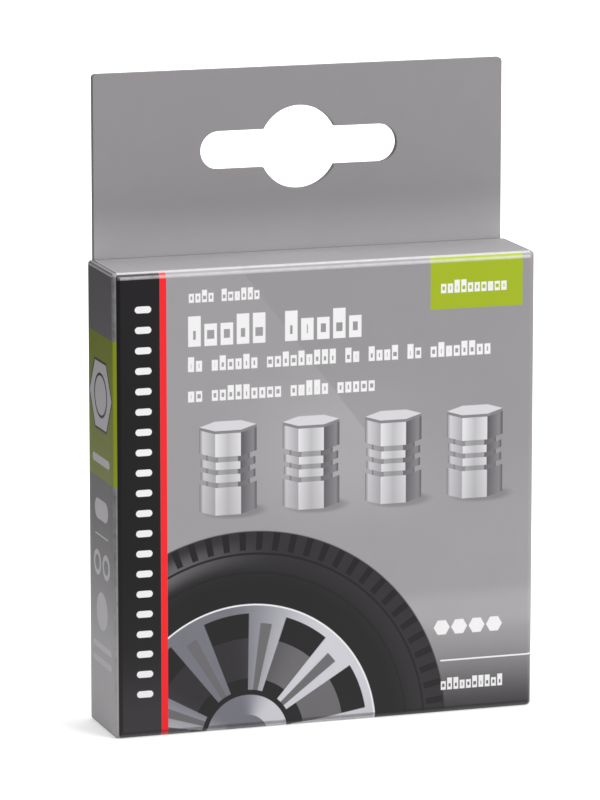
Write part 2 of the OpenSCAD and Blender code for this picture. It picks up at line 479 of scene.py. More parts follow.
# Half widths of a cap's blocks, rings and neck, and the height at which each starts
CAP_BLOCK = 4.6
CAP_RING = 4.4
CAP_NECK = 3.5
CAP_STEPS = (
    (0, CAP_BLOCK), (4.3, CAP_NECK), (5.1, CAP_RING), (6.3, CAP_NECK),
    (7.1, CAP_RING), (8.3, CAP_NECK), (9.1, CAP_BLOCK),
)
CAP_SPAN = 6.0
# Half width of the face in front, and the slope of level lines on the faces beside it
CAP_FACE_HALF = 2.1
CAP_SLOPE = 0.3
CAP_BEVEL = 0.45
CAP_TOP = ink(222, 220, 224)
CAP_FACETS = (
    (0.0, ink(120, 118, 122)), (0.06, ink(214, 212, 216)), (0.27, ink(176, 174, 178)),
    (0.28, ink(236, 235, 238)), (0.5, ink(196, 194, 198)), (0.72, ink(228, 227, 230)),
    (0.73, ink(92, 90, 94)), (0.94, ink(140, 138, 142)), (1.0, ink(84, 82, 86)),
)
NECK_SHARE = 0.6
FOOT_FADE = (0.8, 0.0)
FOOT_SHARE = 0.25
# A cap's shadow: its middle beside the foot and above it, its squash and its fade
SHADOW = (1.2, 0.5, 0.24)
SHADOW_FADE = (5.8, 3.4)
SHADOW_SHARE = 0.5


def pictured_caps(p):
    """A row of plain caps seen from a little above: hexagon blocks and two rings on a narrower neck."""
    first, pitch, foot, height = CAP_ROW
    row = p.at(u=p.repeated(p.u, first, pitch, CAPS))
    beside, above, squash = SHADOW
    shadow = p.step(row.reach(beside, foot + above, squash), *SHADOW_FADE)
    p.paint(p.times(shadow, SHADOW_SHARE), SILVER_DARK)
    # Level lines rise towards both sides on the slanting faces, and the far edges of the top fall
    aside = p.larger(p.minus(p.math("ABSOLUTE", row.u), CAP_FACE_HALF), 0.0)
    near = p.math("MULTIPLY_ADD", aside, -CAP_SLOPE, p.v)
    far = p.math("MULTIPLY_ADD", aside, CAP_SLOPE, p.v)
    up = p.math("DIVIDE", p.minus(near, foot), height)
    stops = [(place / height, (half / CAP_SPAN,) * 3 + (1,)) for place, half in CAP_STEPS]
    half = p.times(p.ramp(up, stops, "CONSTANT"), CAP_SPAN)
    inside = p.below(p.minus(p.math("ABSOLUTE", row.u), half), 0, soft=0.06)
    metal = p.ramp(p.vary(p.math("DIVIDE", row.u, half), low=0.5, span=0.5), CAP_FACETS)
    on_neck = p.math("LESS_THAN", half, (CAP_NECK + CAP_RING) / 2)
    metal = p.mix(p.times(on_neck, NECK_SHARE), metal, SILVER_DARK)
    metal = p.mix(p.times(p.step(up, *FOOT_FADE), FOOT_SHARE), metal, SILVER_SHADE)
    metal = p.mix(p.above(near, foot + height - CAP_BEVEL, soft=0.05), metal, SILVER_SHADE)
    metal = p.mix(p.above(near, foot + height, soft=0.05), metal, CAP_TOP)
    back_edge = foot + height + 2 * CAP_SLOPE * (CAP_BLOCK - CAP_FACE_HALF)
    tall = p.minus(p.above(near, foot, soft=0.06), p.above(far, back_edge, soft=0.06))
    p.paint(p.times(inside, tall), metal)


# Painted highlights and painted shade along the folds' bends: how far they fade past their half width
# and inside it, the scale of the fibres that break them up, how much the fibres add and how much
# comes off first
CREASE_LIGHT_FADE = (0.12, -0.1)
CREASE_LIGHT_FIBRE = 900
CREASE_LIGHT_ADDED = 0.35
CREASE_LIGHT_OFF = 0.17
# Where the creases of the front, of the upright folds and of the side end: left, right, low and high
CREASE_PAST = 9
FRONT_CREASES = (0.35 - FOLD_MIDDLE, FLAT_HALF_W + 0.3, -CREASE_PAST, CARTON_H + CREASE_PAST)
UPRIGHT_CREASES = (SIDE_START - 2, 2 - SIDE_START, DUST_DROP, CARTON_H - DUST_DROP)
SIDE_CREASES = (SIDE_END, SIDE_START, -CREASE_PAST, CARTON_H + CREASE_PAST)
# Heights on the side: the ridge's painted highlight, the painted shade just above it, and the painted
# shadow along its foot
RIDGE_V = CARTON_H - DUST_DROP + 0.02
RIDGE_SHADOW_V = RIDGE_V + 0.3
SIDE_FOOT_SHADOW_V = DUST_DROP - 0.35


def paint_crease_light_and_shade(p, along, middle, colour, within, half, share):
    """A painted highlight or painted shade along a crease, broken up by the board's fibres."""
    line = p.step(p.away(along, middle), *(half + past for past in CREASE_LIGHT_FADE))
    fibres = p.noise(p.place(), CREASE_LIGHT_FIBRE, detail=3)
    patchy = p.vary(fibres, low=share - CREASE_LIGHT_OFF, span=CREASE_LIGHT_ADDED)
    mask = p.math("MULTIPLY", line, patchy, clamp=True)
    p.paint(p.times(mask, within), colour)


def crease_light_and_shade(p, green):
    """Painted highlights and painted shade on the bends of every fold, on the lids and beside the upright
    folds.
    """
    front = p.field(*FRONT_CREASES)
    first = CARTON_H - BEAD_SETBACK + BEAD_BEND / 2
    second = first + BEAD_BEND + BEAD_CHAMFER
    lowest = BEAD_SETBACK - BEAD_BEND / 2
    # Painted highlights on both bends of the fold above the front, and painted shade on the lowest bend
    # at its foot
    paint_crease_light_and_shade(p, p.v, first, CREASE_HIGHLIGHT, front, half=BEAD_BEND * 0.4, share=0.4)
    paint_crease_light_and_shade(p, p.v, second, CREASE_HIGHLIGHT, front, half=BEAD_BEND * 0.55, share=0.5)
    paint_crease_light_and_shade(p, p.v, lowest, CREASE_SHADE, front, half=BEAD_BEND * 0.5, share=0.45)
    upright = p.field(*UPRIGHT_CREASES)
    plain = p.minus(upright, green)
    outer = SIDE_START + BEAD_BEND / 2
    inner = -FLAT_HALF_W - BEAD_BEND / 2
    # On the left upright fold: painted highlights on its grey, not on the green, and painted shade on its
    # bend by the front
    paint_crease_light_and_shade(p, p.u, outer, CREASE_HIGHLIGHT, plain, half=BEAD_BEND * 0.5, share=0.13)
    paint_crease_light_and_shade(p, p.u, -FOLD_MIDDLE, CREASE_HIGHLIGHT, plain, half=0.15, share=0.25)
    paint_crease_light_and_shade(p, p.u, inner, CREASE_SHADE, upright, half=BEAD_BEND * 0.55, share=0.75)
    side = p.field(*SIDE_CREASES)
    # On the side: painted shade just above the ridge's painted highlight, and a painted shadow along its
    # foot
    paint_crease_light_and_shade(p, p.v, RIDGE_SHADOW_V, CREASE_SHADE, side, half=0.13, share=0.6)
    paint_crease_light_and_shade(p, p.v, RIDGE_V, CREASE_HIGHLIGHT, side, half=0.1, share=0.42)
    paint_crease_light_and_shade(p, p.v, SIDE_FOOT_SHADOW_V, CREASE_SHADE, side, half=0.3, share=0.85)


# Rows of small blocks: left end, middle, height, and how many blocks each run has
WORD_ROWS = (
    (-22.6, 63.1, 4.7, (5, 5)),
    (-22.3, 68.5, 1.9, (4, 6)),
    (-22.5, 58.0, 2.3, (2, 6, 9, 2, 4, 2, 8)),
    (-22.5, 53.3, 2.3, (2, 9, 5, 5)),
)
LABEL_WORD = (18.4, 67.8, 2.0, (10,))
FOOT_WORD = (18.7, 4.7, 1.9, (10,))
# Shares of a row's height: the pitch of its blocks, the top of a low block, what a tall one adds,
# and the foot and top of a hole
WORD_PITCH = 0.55
WORD_LOW_TOP = 0.23
WORD_TALL = 0.27
WORD_HOLE = (-0.27, 0.02)
# Share of the pitch that half a block takes, widest hole in it, and share of blocks that stay low
WORD_BLOCK_HALF = 0.39
WORD_HOLE_HALF = 0.62
WORD_LOW_SHARE = 0.6
# A block's chance times this gives it another chance, for its hole
WORD_RESHUFFLE = 7


def words(p, left, middle, height, counts):
    """A row of runs of small blocks, some of them lower and some with a hole."""
    pitch = height * WORD_PITCH
    cell = p.math("DIVIDE", p.minus(p.u, left), pitch)
    number = p.math("FLOOR", cell)
    away = p.times(p.away(p.math("FRACT", cell), 0.5), pitch)
    lot = p.new("ShaderNodeTexWhiteNoise", noise_dimensions="1D")
    p.put(lot.inputs["W"], p.math("ADD", number, middle))
    chance = lot.outputs["Value"]
    up = p.minus(p.v, middle)
    tall = p.times(p.math("GREATER_THAN", chance, WORD_LOW_SHARE), height * WORD_TALL)
    over = p.minus(p.minus(up, tall), height * WORD_LOW_TOP)
    block = p.larger(over, p.minus(-height / 2, up))
    half = pitch * WORD_BLOCK_HALF
    block = p.larger(block, p.minus(away, half))
    other_chance = p.math("FRACT", p.times(chance, WORD_RESHUFFLE))
    hollow = p.times(other_chance, half * WORD_HOLE_HALF)
    hole_foot, hole_top = (height * share for share in WORD_HOLE)
    hole = p.larger(p.minus(away, hollow), p.minus(hole_foot, up))
    hole = p.larger(hole, p.minus(up, hole_top))
    block = p.larger(block, p.minus(0, hole))
    mask = p.below(block, 0, soft=0.05)
    total = sum(counts) + len(counts) - 1
    kept = p.math("COMPARE", number, (total - 1) / 2, total / 2)
    gap = -1
    for count in counts[:-1]:
        gap += count + 1
        kept = p.minus(kept, p.math("COMPARE", number, gap, 0.5))
    p.paint(p.times(mask, kept), WHITE)


# Black band: painted light and shade up its height, lighter towards the foot,
# and its marks: middle, half length, lowest, highest, height and count
BAND_PAINTED_LIGHT = (
    (0.05, grey(55)), (0.09, grey(50)), (0.15, grey(36)), (0.2, grey(28)),
    (0.36, grey(20, 2)), (0.66, grey(26, 2)), (0.95, BLACK),
)
BAND_MARKS = (-29.45, 1.3, 6.9, 66.9, 1.05, 20)


def band(p):
    """The black band with its marks, and the red strip beside it."""
    # Painted light: the black is lighter near the band's foot and a little near its top
    black = p.ramp(p.math("DIVIDE", p.v, CARTON_H), BAND_PAINTED_LIGHT)
    p.paint(p.field(BAND_LEFT, BAND_RIGHT, PRINT_FOOT, PRINT_TOP, soft=0.05), black)
    p.paint(p.field(BAND_RIGHT, RED_RIGHT, PRINT_FOOT, PRINT_TOP, soft=0.05), RED)
    middle, half, low, high, height, count = BAND_MARKS
    row = p.at(v=p.repeated(p.v, low, (high - low) / (count - 1), count))
    p.paint(row.bar(middle, 0, half, height), WHITE)


# Green label and rule by their edges, and the hexagons that show the count: first, pitch, height and size
LABEL = (16.8, 31.95, 64.3)
RULE = (18.7, HALF_W, 8.35, 8.6)
COUNT_MARKS = (18.9, 2.9, 13.8, 2.3)


def labels(p):
    """The green label, the row and rule at the foot, and one small hexagon for each cap."""
    p.paint(p.field(*LABEL, PRINT_TOP, soft=0.05), GREEN)
    words(p, *LABEL_WORD)
    words(p, *FOOT_WORD)
    p.paint(p.field(*RULE, soft=0.03), WHITE)
    first, pitch, height, size = COUNT_MARKS
    row = p.at(u=p.repeated(p.u, first, pitch, CAPS))
    p.paint(row.hexagon(0, height, size), WHITE)


# Left side: painted shade up its height, darker at the top, its green block,
# and its marks by their height and sizes
SIDE_PAINTED_SHADE = [
    (place, grey(value))
    for place, value in (
        (0.0, 168), (0.12, 164), (0.2, 158), (0.28, 137), (0.37, 111), (0.46, 98), (0.9, 96),
    )
]
SIDE_MARK = ink(182, 179, 183)
SIDE_GREEN = (39.6, 62.1)
# The side's green in painted shade, and painted lighter on the fold
GREEN_IN_PAINTED_SHADE = ink(113, 122, 4)
GREEN_FOLD_PAINTED_LIGHT = ink(152, 166, 4)
GREEN_FOLD_LIGHT_FADE = (SIDE_START - 0.1, SIDE_START + 0.5)
BOTTOM_FLAP_FADE = (DUST_DROP - 1.5, DUST_DROP - 1.6)
SIDE_HEXAGON = (52.6, 11.0)
HEXAGON_LINE = 0.7
HEXAGON_RING = (0.32, 0.28)
SIDE_BARS = ((42.4, 4.6, 1.3), (34.6, 3.6, 3.2), (12.9, 5.0, 1.0), (10.6, 5.0, 1.0))
SIDE_RULE = (3.5, 30.4, 30.65)
SIDE_RINGS = (2.4, 26.0, 2.0, 1.2)
SIDE_DISC = (18.6, 3.0)


def side_print(p):
    """Left side: ground and green block in painted shade, painted light on the green's fold, a hexagon in
    outline, and plain marks.
    """
    middle = SIDE_MIDDLE
    on_side = p.below(p.u, BAND_LEFT, soft=0.05)
    # Painted shade: the side is darker at the top and lighter towards its foot
    p.paint(on_side, p.ramp(p.math("DIVIDE", p.v, CARTON_H), SIDE_PAINTED_SHADE))
    top_flap = p.above(p.v, CARTON_H - DUST_DROP, soft=0.06)
    bottom_flap = p.step(p.v, *BOTTOM_FLAP_FADE)
    p.paint(p.times(on_side, p.math("ADD", top_flap, bottom_flap)), GROUND)
    # Painted light: the green grows lighter across the fold
    fold_light = p.step(p.u, *GREEN_FOLD_LIGHT_FADE)
    green = p.field(SHEET_LEFT, BAND_LEFT, *SIDE_GREEN, soft=0.05)
    p.paint(green, p.mix(fold_light, GREEN_IN_PAINTED_SHADE, GREEN_FOLD_PAINTED_LIGHT))
    height, across = SIDE_HEXAGON
    p.paint(p.hexagon(middle, height, across), BLACK)
    p.paint(p.hexagon(middle, height, across - HEXAGON_LINE), SIDE_MARK)
    p.paint(p.ring(middle, height, *(across * share for share in HEXAGON_RING)), BLACK)
    for height, half, thick in SIDE_BARS:
        p.paint(p.bar(middle, height, half, thick), SIDE_MARK)
    half, low, high = SIDE_RULE
    p.paint(p.field(middle - half, middle + half, low, high, soft=0.03), SIDE_MARK)
    apart, height, outer, inner = SIDE_RINGS
    for side in (-1, 1):
        p.paint(p.ring(middle + side * apart, height, outer, inner), SIDE_MARK)
    p.paint(p.disc(middle, *SIDE_DISC), SIDE_MARK)
    return green


def board_bump(g, strength):
    """Fine fibre under the coating."""
    place = g.place()
    fibre = g.noise(place, scale=2600, detail=4, roughness=0.6)
    cloud = g.noise(place, scale=240)
    g.bump(g.math("MULTIPLY_ADD", cloud, 0.6, fibre), strength, distance=0.03)
    return fibre, cloud


def printed_board():
    """Coated board with its print, in a satin finish."""
    p = Print(bpy.data.materials.new("printed_board"), GROUND)
    front_ground(p)
    green = side_print(p)
    wheel(p)
    pictured_caps(p)
    for row in WORD_ROWS:
        words(p, *row)
    band(p)
    labels(p)
    crease_light_and_shade(p, green)
    fibre, cloud = board_bump(p, strength=0.25)
    mottled = p.vector_math("SCALE", p.colour)
    p.put(mottled.inputs["Scale"], p.vary(cloud, low=0.975, span=0.05))
    p.surface("Base Color", mottled.outputs[0])
    p.surface("Roughness", p.vary(fibre, low=0.36, span=0.08))
    p.surface("Specular IOR Level", 0.35)
    return p.owner


def plain_board(name, low, high, roughness):
    """Uncoated or cut board, with its fibres."""
    g = Graph(bpy.data.materials.new(name))
    fibre, cloud = board_bump(g, strength=0.6)
    g.surface("Base Color", g.mix(g.math("MULTIPLY_ADD", cloud, 0.4, fibre), low, high))
    g.surface("Roughness", roughness)
    return g.owner


def brushed_aluminium():
    """Turned aluminium: fine rings round the cap, and a soft variation in its gloss."""
    g = Graph(bpy.data.materials.new("cap_aluminium"))
    place = g.place()
    stretched = g.vector_math("MULTIPLY", place, (60, 60, 4200))
    rings = g.noise(stretched.outputs[0], scale=1, detail=3)
    cloud = g.noise(place, scale=420)
    g.surface("Base Color", g.mix(rings, ink(198, 199, 202), ink(222, 222, 224)))
    g.surface("Metallic", 1.0)
    g.surface("Roughness", g.vary(cloud, low=0.18, span=0.12))
    g.bump(rings, strength=0.15, distance=0.02)
    return g.owner


def moulded_rubber():
    """Matt black rubber with a fine grain."""
    g = Graph(bpy.data.materials.new("seal_rubber"))
    grain = g.noise(g.place(), scale=3000, detail=3)
    g.surface("Base Color", g.mix(grain, grey(26, 0), grey(40, 0)))
    g.surface("Roughness", g.vary(grain, low=0.62, span=0.15))
    g.bump(grain, strength=0.3, distance=0.03)
    return g.owner


BOARD_MATERIALS = (
    printed_board(),
    plain_board("board_inside", ink(176, 174, 172), ink(206, 204, 201), roughness=0.8),
    plain_board("board_edge", ink(112, 109, 111), ink(142, 139, 141), roughness=0.85),
)
FACE, BACK, EDGE = range(3)


class Sheet:
    """Collects board surfaces, with their flat coordinates, into one mesh."""

    def __init__(self, name):
        self.name = name
        self.mesh = bmesh.new()
        self.uv = self.mesh.loops.layers.uv.new("flat")

    def face(self, points, flats, material, smooth=True):
        made = self.mesh.faces.new([self.mesh.verts.new(Vector(p) * MM) for p in points])
        made.material_index = material
        made.smooth = smooth
        for loop, flat in zip(made.loops, flats):
            loop[self.uv].uv = [(value + UV_SHIFT) / UV_SPAN for value in flat]

    def done(self):
        bmesh.ops.remove_doubles(self.mesh, verts=self.mesh.verts, dist=MERGE * MM)
        bmesh.ops.recalc_face_normals(self.mesh, faces=self.mesh.faces)
        for edge in self.mesh.edges:
            flat = any(not face.smooth for face in edge.link_faces)
            edge.smooth = not flat and edge.calc_face_angle(0) < SHARP_ANGLE
        data = bpy.data.meshes.new(self.name)
        self.mesh.to_mesh(data)
        self.mesh.free()
        for material in BOARD_MATERIALS:
            data.materials.append(material)
        made = add(self.name, data)
        return made


class Station:
    """A point of a board's path: its place, the one opposite on the inner face, and the length so far."""

    def __init__(self, point, normal, length):
        self.point = Vector(point)
        self.length = length
        self.under = self.point - normal * BOARD_T


def turned(vector, degrees):
    """A plane vector turned anticlockwise."""
    angle = math.radians(degrees)
    cosine, sine = math.cos(angle), math.sin(angle)
    return Vector((vector[0] * cosine - vector[1] * sine, vector[0] * sine + vector[1] * cosine))


class Path:
    """The outer face of a board, walked in steps; it turns left, with the face on the walker's right."""

    side = 1

    def __init__(self, start, heading):
        self.point = Vector(start)
        self.heading = Vector(heading).normalized()
        self.length = 0.0
        self.stations = []
        self.mark()

    def mark(self):
        normal = turned(self.heading, -90 * self.side)
        self.stations.append(Station(self.point, normal, self.length))

    def straight(self, distance, steps=1):
        for _ in range(steps):
            self.point = self.point + self.heading * (distance / steps)
            self.length += distance / steps
            self.mark()

    def bend(self, radius, degrees, steps=BEND_STEPS):
        """Turns round an outer radius."""
        centre = self.point + turned(self.heading, 90 * self.side) * radius
        for _ in range(steps):
            self.heading = turned(self.heading, degrees / steps * self.side)
            self.point = centre + turned(self.heading, -90 * self.side) * radius
            self.length += radius * math.radians(degrees) / steps
            self.mark()

    def bead(self):
        """A right-angled fold pressed as a bend, a flat chamfer and a bend."""
        self.bend(BEAD_BEND_R, 45)
        self.straight(BEAD_CHAMFER)
        self.bend(BEAD_BEND_R, 45)
        return self


class LidPath(Path):
    """A path that turns right, with the outer face on the walker's left."""

    side = -1


# Which of a board's two rims get a cut edge
BOTH = (True, True)
NEITHER = (False, False)


def lay(sheet, stations, spans, place, flat, ends=BOTH, sides=BOTH):
    """Adds a board along its path. spans gives each station's row of positions across the path."""
    rows, columns = len(stations), len(spans[0])
    steps = list(zip(stations, spans))
    outer = [[place(station.point, across) for across in span] for station, span in steps]
    inner = [[place(station.under, across) for across in span] for station, span in steps]
    flats = [[flat(station.length, across) for across in span] for station, span in steps]

    def quad(grid, row, column):
        corners = ((row, column), (row + 1, column), (row + 1, column + 1), (row, column + 1))
        return [grid[r][c] for r, c in corners]

    def cut_edge(one, two):
        """Closes the board between two neighbouring places on its rim."""
        ways = ((outer, one), (outer, two), (inner, two), (inner, one))
        sheet.face([grid[r][c] for grid, (r, c) in ways], [flats[one[0]][one[1]]] * 4, EDGE)

    for row in range(rows - 1):
        for column in range(columns - 1):
            sheet.face(quad(outer, row, column), quad(flats, row, column), FACE)
            sheet.face(quad(inner, row, column), quad(flats, row, column), BACK)
    for row, wanted in ((0, ends[0]), (rows - 1, ends[1])):
        for column in range(columns - 1) if wanted else ():
            cut_edge((row, column), (row, column + 1))
    for column, wanted in ((0, sides[0]), (columns - 1, sides[1])):
        for row in range(rows - 1) if wanted else ():
            cut_edge((row, column), (row + 1, column))


def spread(low, high, steps):
    """Even steps from low to high, with both ends."""
    return [low + (high - low) * count / steps for count in range(steps + 1)]


def rounded_tip(length, radius, total):
    """How far a flap's edge stands in at a distance along it, for round corners at its tip."""
    past = length - (total - radius)
    return 0.0 if past <= 0 else radius - math.sqrt(max(radius * radius - past * past, 0.0))


def arc_points(centre, radius, start, end, steps):
    """Points of an arc, with both ends."""
    angles = [math.radians(a) for a in spread(start, end, steps)]
    return [(centre[0] + radius * math.cos(a), centre[1] + radius * math.sin(a)) for a in angles]


def slot_points():
    """Outline of the hang slot with the round hole at its middle."""
    end_x = SLOT_HALF_L - SLOT_R
    meet = math.degrees(math.asin(SLOT_R / SLOT_HOLE_R))
    points = []
    for x, turn in ((end_x, 0), (-end_x, 180)):
        points += arc_points((x, SLOT_Z), SLOT_R, turn - 90, turn + 90, steps=16)
        points += arc_points((0, SLOT_Z), SLOT_HOLE_R, turn + meet, turn + 180 - meet, steps=28)
    return points


def header_points(left, right):
    """Outline of one back ply with the header above it; left and right are the ply's sides below."""
    foot = CARTON_H - DUST_DROP
    top = HEADER_TOP - HEADER_CORNER_R
    points = [(left, BACK_FOOT), (right, BACK_FOOT), (right, foot), (HEADER_RIGHT, foot)]
    for x, turn in ((HEADER_RIGHT - HEADER_CORNER_R, 0), (HEADER_CORNER_R - HEADER_HALF_W, 90)):
        points += arc_points((x, top), HEADER_CORNER_R, turn, turn + 90, steps=6)
    points += [(-HEADER_HALF_W, foot), (left, foot)]
    return points


def inset_loop(points, distance, hole=False):
    """The outline moved inwards by a small distance along its corner normals."""
    moved = []
    corners = [Vector(point) for point in points]
    for before, here, after in zip(corners[-1:] + corners, corners, corners[1:] + corners[:1]):
        heading = (here - before).normalized() + (after - here).normalized()
        normal = turned(heading, -90 if hole else 90).normalized()
        moved.append(tuple(here + normal * distance))
    return moved


def ply(sheet, left, right, front_y, back_y, front_material, back_material, flat):
    """A flat ply with the slot cut through, its cut edges slightly rounded."""
    outlines = ((header_points(left, right), False), (slot_points(), True))
    loops = [(outline, inset_loop(outline, EDGE_ROUND, hole)) for outline, hole in outlines]
    for y, material in ((front_y, front_material), (back_y, back_material)):
        flat_face = bmesh.new()
        edges = []
        for _, shrunk in loops:
            verts = [flat_face.verts.new((x, y, z)) for x, z in shrunk]
            edges += [flat_face.edges.new((verts[i - 1], verts[i])) for i in range(len(verts))]
        bmesh.ops.triangle_fill(flat_face, use_beauty=True, use_dissolve=False, edges=edges)
        for face in flat_face.faces:
            points = [tuple(vert.co) for vert in face.verts]
            sheet.face(points, [flat(x, z) for x, _, z in points], material, smooth=False)
        flat_face.free()
    for outline, shrunk in loops:
        rings = [
            [(x, front_y, z) for x, z in shrunk],
            [(x, front_y + EDGE_ROUND, z) for x, z in outline],
            [(x, back_y - EDGE_ROUND, z) for x, z in outline],
            [(x, back_y, z) for x, z in shrunk],
        ]
        for one, two in zip(rings, rings[1:]):
            for i in range(len(outline)):
                corners = [one[i - 1], one[i], two[i], two[i - 1]]
                sheet.face(corners, [flat(x, z) for x, _, z in corners], EDGE)


def plan(point, height):
    """Place of a point of a path drawn in plan."""
    return (point.x, point.y, height)


def between(one, two, share):
    """The point at a share of the way from one to two."""
    return [a + (b - a) * share for a, b in zip(one, two)]


def shares_along(points):
    """How far along a line of points each one is, as a share of its length."""
    lengths = [0.0]
    for one, two in zip(points, points[1:]):
        lengths.append(lengths[-1] + math.dist(one, two))
    return [length / lengths[-1] for length in lengths]


def spaced(points, marks):
    """Points along a line of points, at the given shares of its length."""
    shares = shares_along(points)
    made = []
    for mark in marks:
        index = min(max(bisect.bisect_left(shares, mark), 1), len(shares) - 1)
        share = (mark - shares[index - 1]) / (shares[index] - shares[index - 1])
        made.append(between(points[index - 1], points[index], share))
    return made


def crushed_corner(sheet, stations, centre, top, flat, from_side):
    """The tip of an upright fold, from the side's crease round to the lid fold's own profile."""
    ridge = [
        ((-step.point.x - FLAT_HALF_W) / BEAD_SETBACK, step.point.y)
        for step in dust_fold_path().stations
    ]
    profile = LidPath((0, -BEAD_SETBACK), (0, 1)).bead().stations
    front = [(1.0, -DUST_DROP - BEAD_SETBACK)] + [
        (1 - step.point.x / BEAD_SETBACK, min(step.point.y, 0) - CRUSH_GAP) for step in profile[:-1]
    ]
    front = spaced(front, shares_along(ridge))
    turns = spread(0, 1, len(stations) - 1) if from_side else spread(1, 0, len(stations) - 1)
    spans = []
    for turn in turns:
        share = turn * turn * (3 - 2 * turn)
        spans.append([between(one, two, share) for one, two in zip(ridge, front)])

    def place(point, mark):
        x, y = between(centre, point, mark[0])
        return (x, y, level(top, mark[1]))

    def place_flat(s, mark):
        return flat(s, level(top, mark[1]))

    lay(sheet, stations, spans, place, place_flat, NEITHER, NEITHER)


def carton_tube():
    """Front, both sides, the four upright folds and the two back plies."""
    sheet = Sheet("carton_tube")
    low = DUST_DROP + BEAD_SETBACK
    high = CARTON_H - low
    walk = Path((-FLAT_HALF_W, HALF_D), (-1, 0))
    corners = []

    def corner(centre):
        first = len(walk.stations) - 1
        walk.bead()
        corners.append((walk.stations[first:], centre))

    inner_y = INNER_PLY_Y - BEAD_SETBACK
    corner((-FLAT_HALF_W, FLAT_HALF_D))
    walk.straight(2 * FLAT_HALF_D, PANEL_STEPS)
    corner((-FLAT_HALF_W, -FLAT_HALF_D))
    front_start = len(walk.stations) - 1
    front_middle = walk.length + FLAT_HALF_W
    walk.straight(2 * FLAT_HALF_W, FRONT_COLUMNS)
    front_end = len(walk.stations)
    corner((FLAT_HALF_W, -FLAT_HALF_D))
    walk.straight(inner_y + FLAT_HALF_D, PANEL_STEPS)
    corner((FLAT_HALF_W, inner_y))

    def flat(s, z):
        return (s - front_middle, z)

    spans = [spread(low, high, ROWS) for _ in walk.stations]
    lay(sheet, walk.stations, spans, plan, flat, NEITHER, NEITHER)
    front = walk.stations[front_start:front_end]
    for foot, top in ((BEAD_SETBACK, low), (high, CARTON_H - BEAD_SETBACK)):
        lay(sheet, front, [[foot, top] for _ in front], plan, flat, sides=NEITHER)
    for number, (stations, middle) in enumerate(corners):
        from_side = number % 2 == 1
        for top in (True, False):
            crushed_corner(sheet, stations, middle, top, flat, from_side)

    def outer_flat(x, z):
        return (BACK_PRINT_U + x, BACK_PRINT_V + z)

    def inner_flat(x, z):
        return (BACK_PRINT_U + x, z)

    ply(sheet, -FLAT_HALF_W, SEAM_X, HALF_D - BOARD_T, HALF_D, BACK, FACE, outer_flat)
    ply(sheet, -FLAT_HALF_W, FLAT_HALF_W, INNER_PLY_Y - BOARD_T, INNER_PLY_Y, FACE, BACK, inner_flat)
    return sheet.done()


def level(top, height):
    """Height in the carton of a point drawn above the lid's outer face, or below it where negative."""
    return CARTON_H + height if top else -height


def across_front(top):
    """Place of a point of a path drawn in Y and the height above the lid's face."""
    return lambda point, x: (x, point.x, level(top, point.y))


def fold_strip(top):
    """The fold between the front and a lid."""
    sheet = Sheet("top_fold" if top else "bottom_fold")
    path = LidPath((-HALF_D, -BEAD_SETBACK), (0, 1))
    path.bead()
    spans = []
    for station in path.stations:
        share = min(-station.point.y / BEAD_SETBACK, 1.0)
        half = LID_HALF_W + (FLAT_HALF_W - LID_HALF_W) * share * share
        spans.append(spread(-half, half, FRONT_COLUMNS))

    def flat(s, x):
        return (x, level(top, s - BEAD_SETBACK))

    place = across_front(top)
    lay(sheet, path.stations, spans, place, flat, ends=NEITHER)
    piece = sheet.done()
    start = Vector(place(path.stations[0].point, 0)) * MM
    end = Vector(place(path.stations[-1].point, 0)) * MM
    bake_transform(piece)


def lid_board(top):
    """A lid's panel, its back fold and its tuck, bowed about the lid's hinge line."""
    body = "top_lid" if top else "bottom_lid"
    sheet = Sheet(f"{body}_board")
    path = LidPath((-FLAT_HALF_D, 0), (1, 0))
    path.straight(TUCK_FOLD_Y + FLAT_HALF_D, PANEL_STEPS)
    path.bend(BACK_FOLD_R, 90 + TUCK_START, steps=10)
    cut = path.length - TUCK_CUT_BACK
    path.bend(TUCK_R, math.degrees(TUCK_LEN / TUCK_R), steps=24)
    spans = []
    for station in path.stations:
        half = LID_HALF_W
        if station.length > cut:
            half = TUCK_HALF_W - rounded_tip(station.length, TUCK_CORNER_R, path.length)
        spans.append(spread(-half, half, LID_COLUMNS))

    def flat(s, x):
        return (x, level(top, BEAD_LENGTH - BEAD_SETBACK + s))

    lay(sheet, path.stations, spans, across_front(top), flat, ends=(False, True))
    piece = sheet.done()
    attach(piece, body)
    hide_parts(body)


def dust_fold_path():
    """From the side panel over a bulging crease down to the flap, which lies under the lid."""
    foot = -DUST_DROP - BEAD_SETBACK
    path = LidPath((-HALF_W, foot), (0, 1))
    ease = RIDGE_R * math.tan(math.radians(22.5)) * RIDGE_EASE
    rise = RIDGE_CHAMFER * math.sin(math.radians(45)) + RIDGE_R
    path.straight(-foot - RIDGE_TOP_DROP - rise, steps=2)
    path.bend(RIDGE_R, 45, steps=4)
    path.straight(RIDGE_CHAMFER)
    path.bend(RIDGE_R, 45 + RIDGE_FALL_DEG, steps=8)
    path.straight((path.point.y + DUST_DROP - ease) / math.sin(math.radians(RIDGE_FALL_DEG)))
    path.heading = Vector((1, 0))
    path.point = Vector((path.point.x + ease, -DUST_DROP))
    path.length += ease
    path.mark()
    # The inner face is a plain quarter turn
    inner = Vector((-HALF_W + BOARD_T, foot))
    reach = Vector((path.point.x, -DUST_DROP - BOARD_T)) - inner
    for station in path.stations:
        turn = math.radians(90) * station.length / path.length
        station.under = inner + Vector((reach.x * (1 - math.cos(turn)), reach.y * math.sin(turn)))
    return path


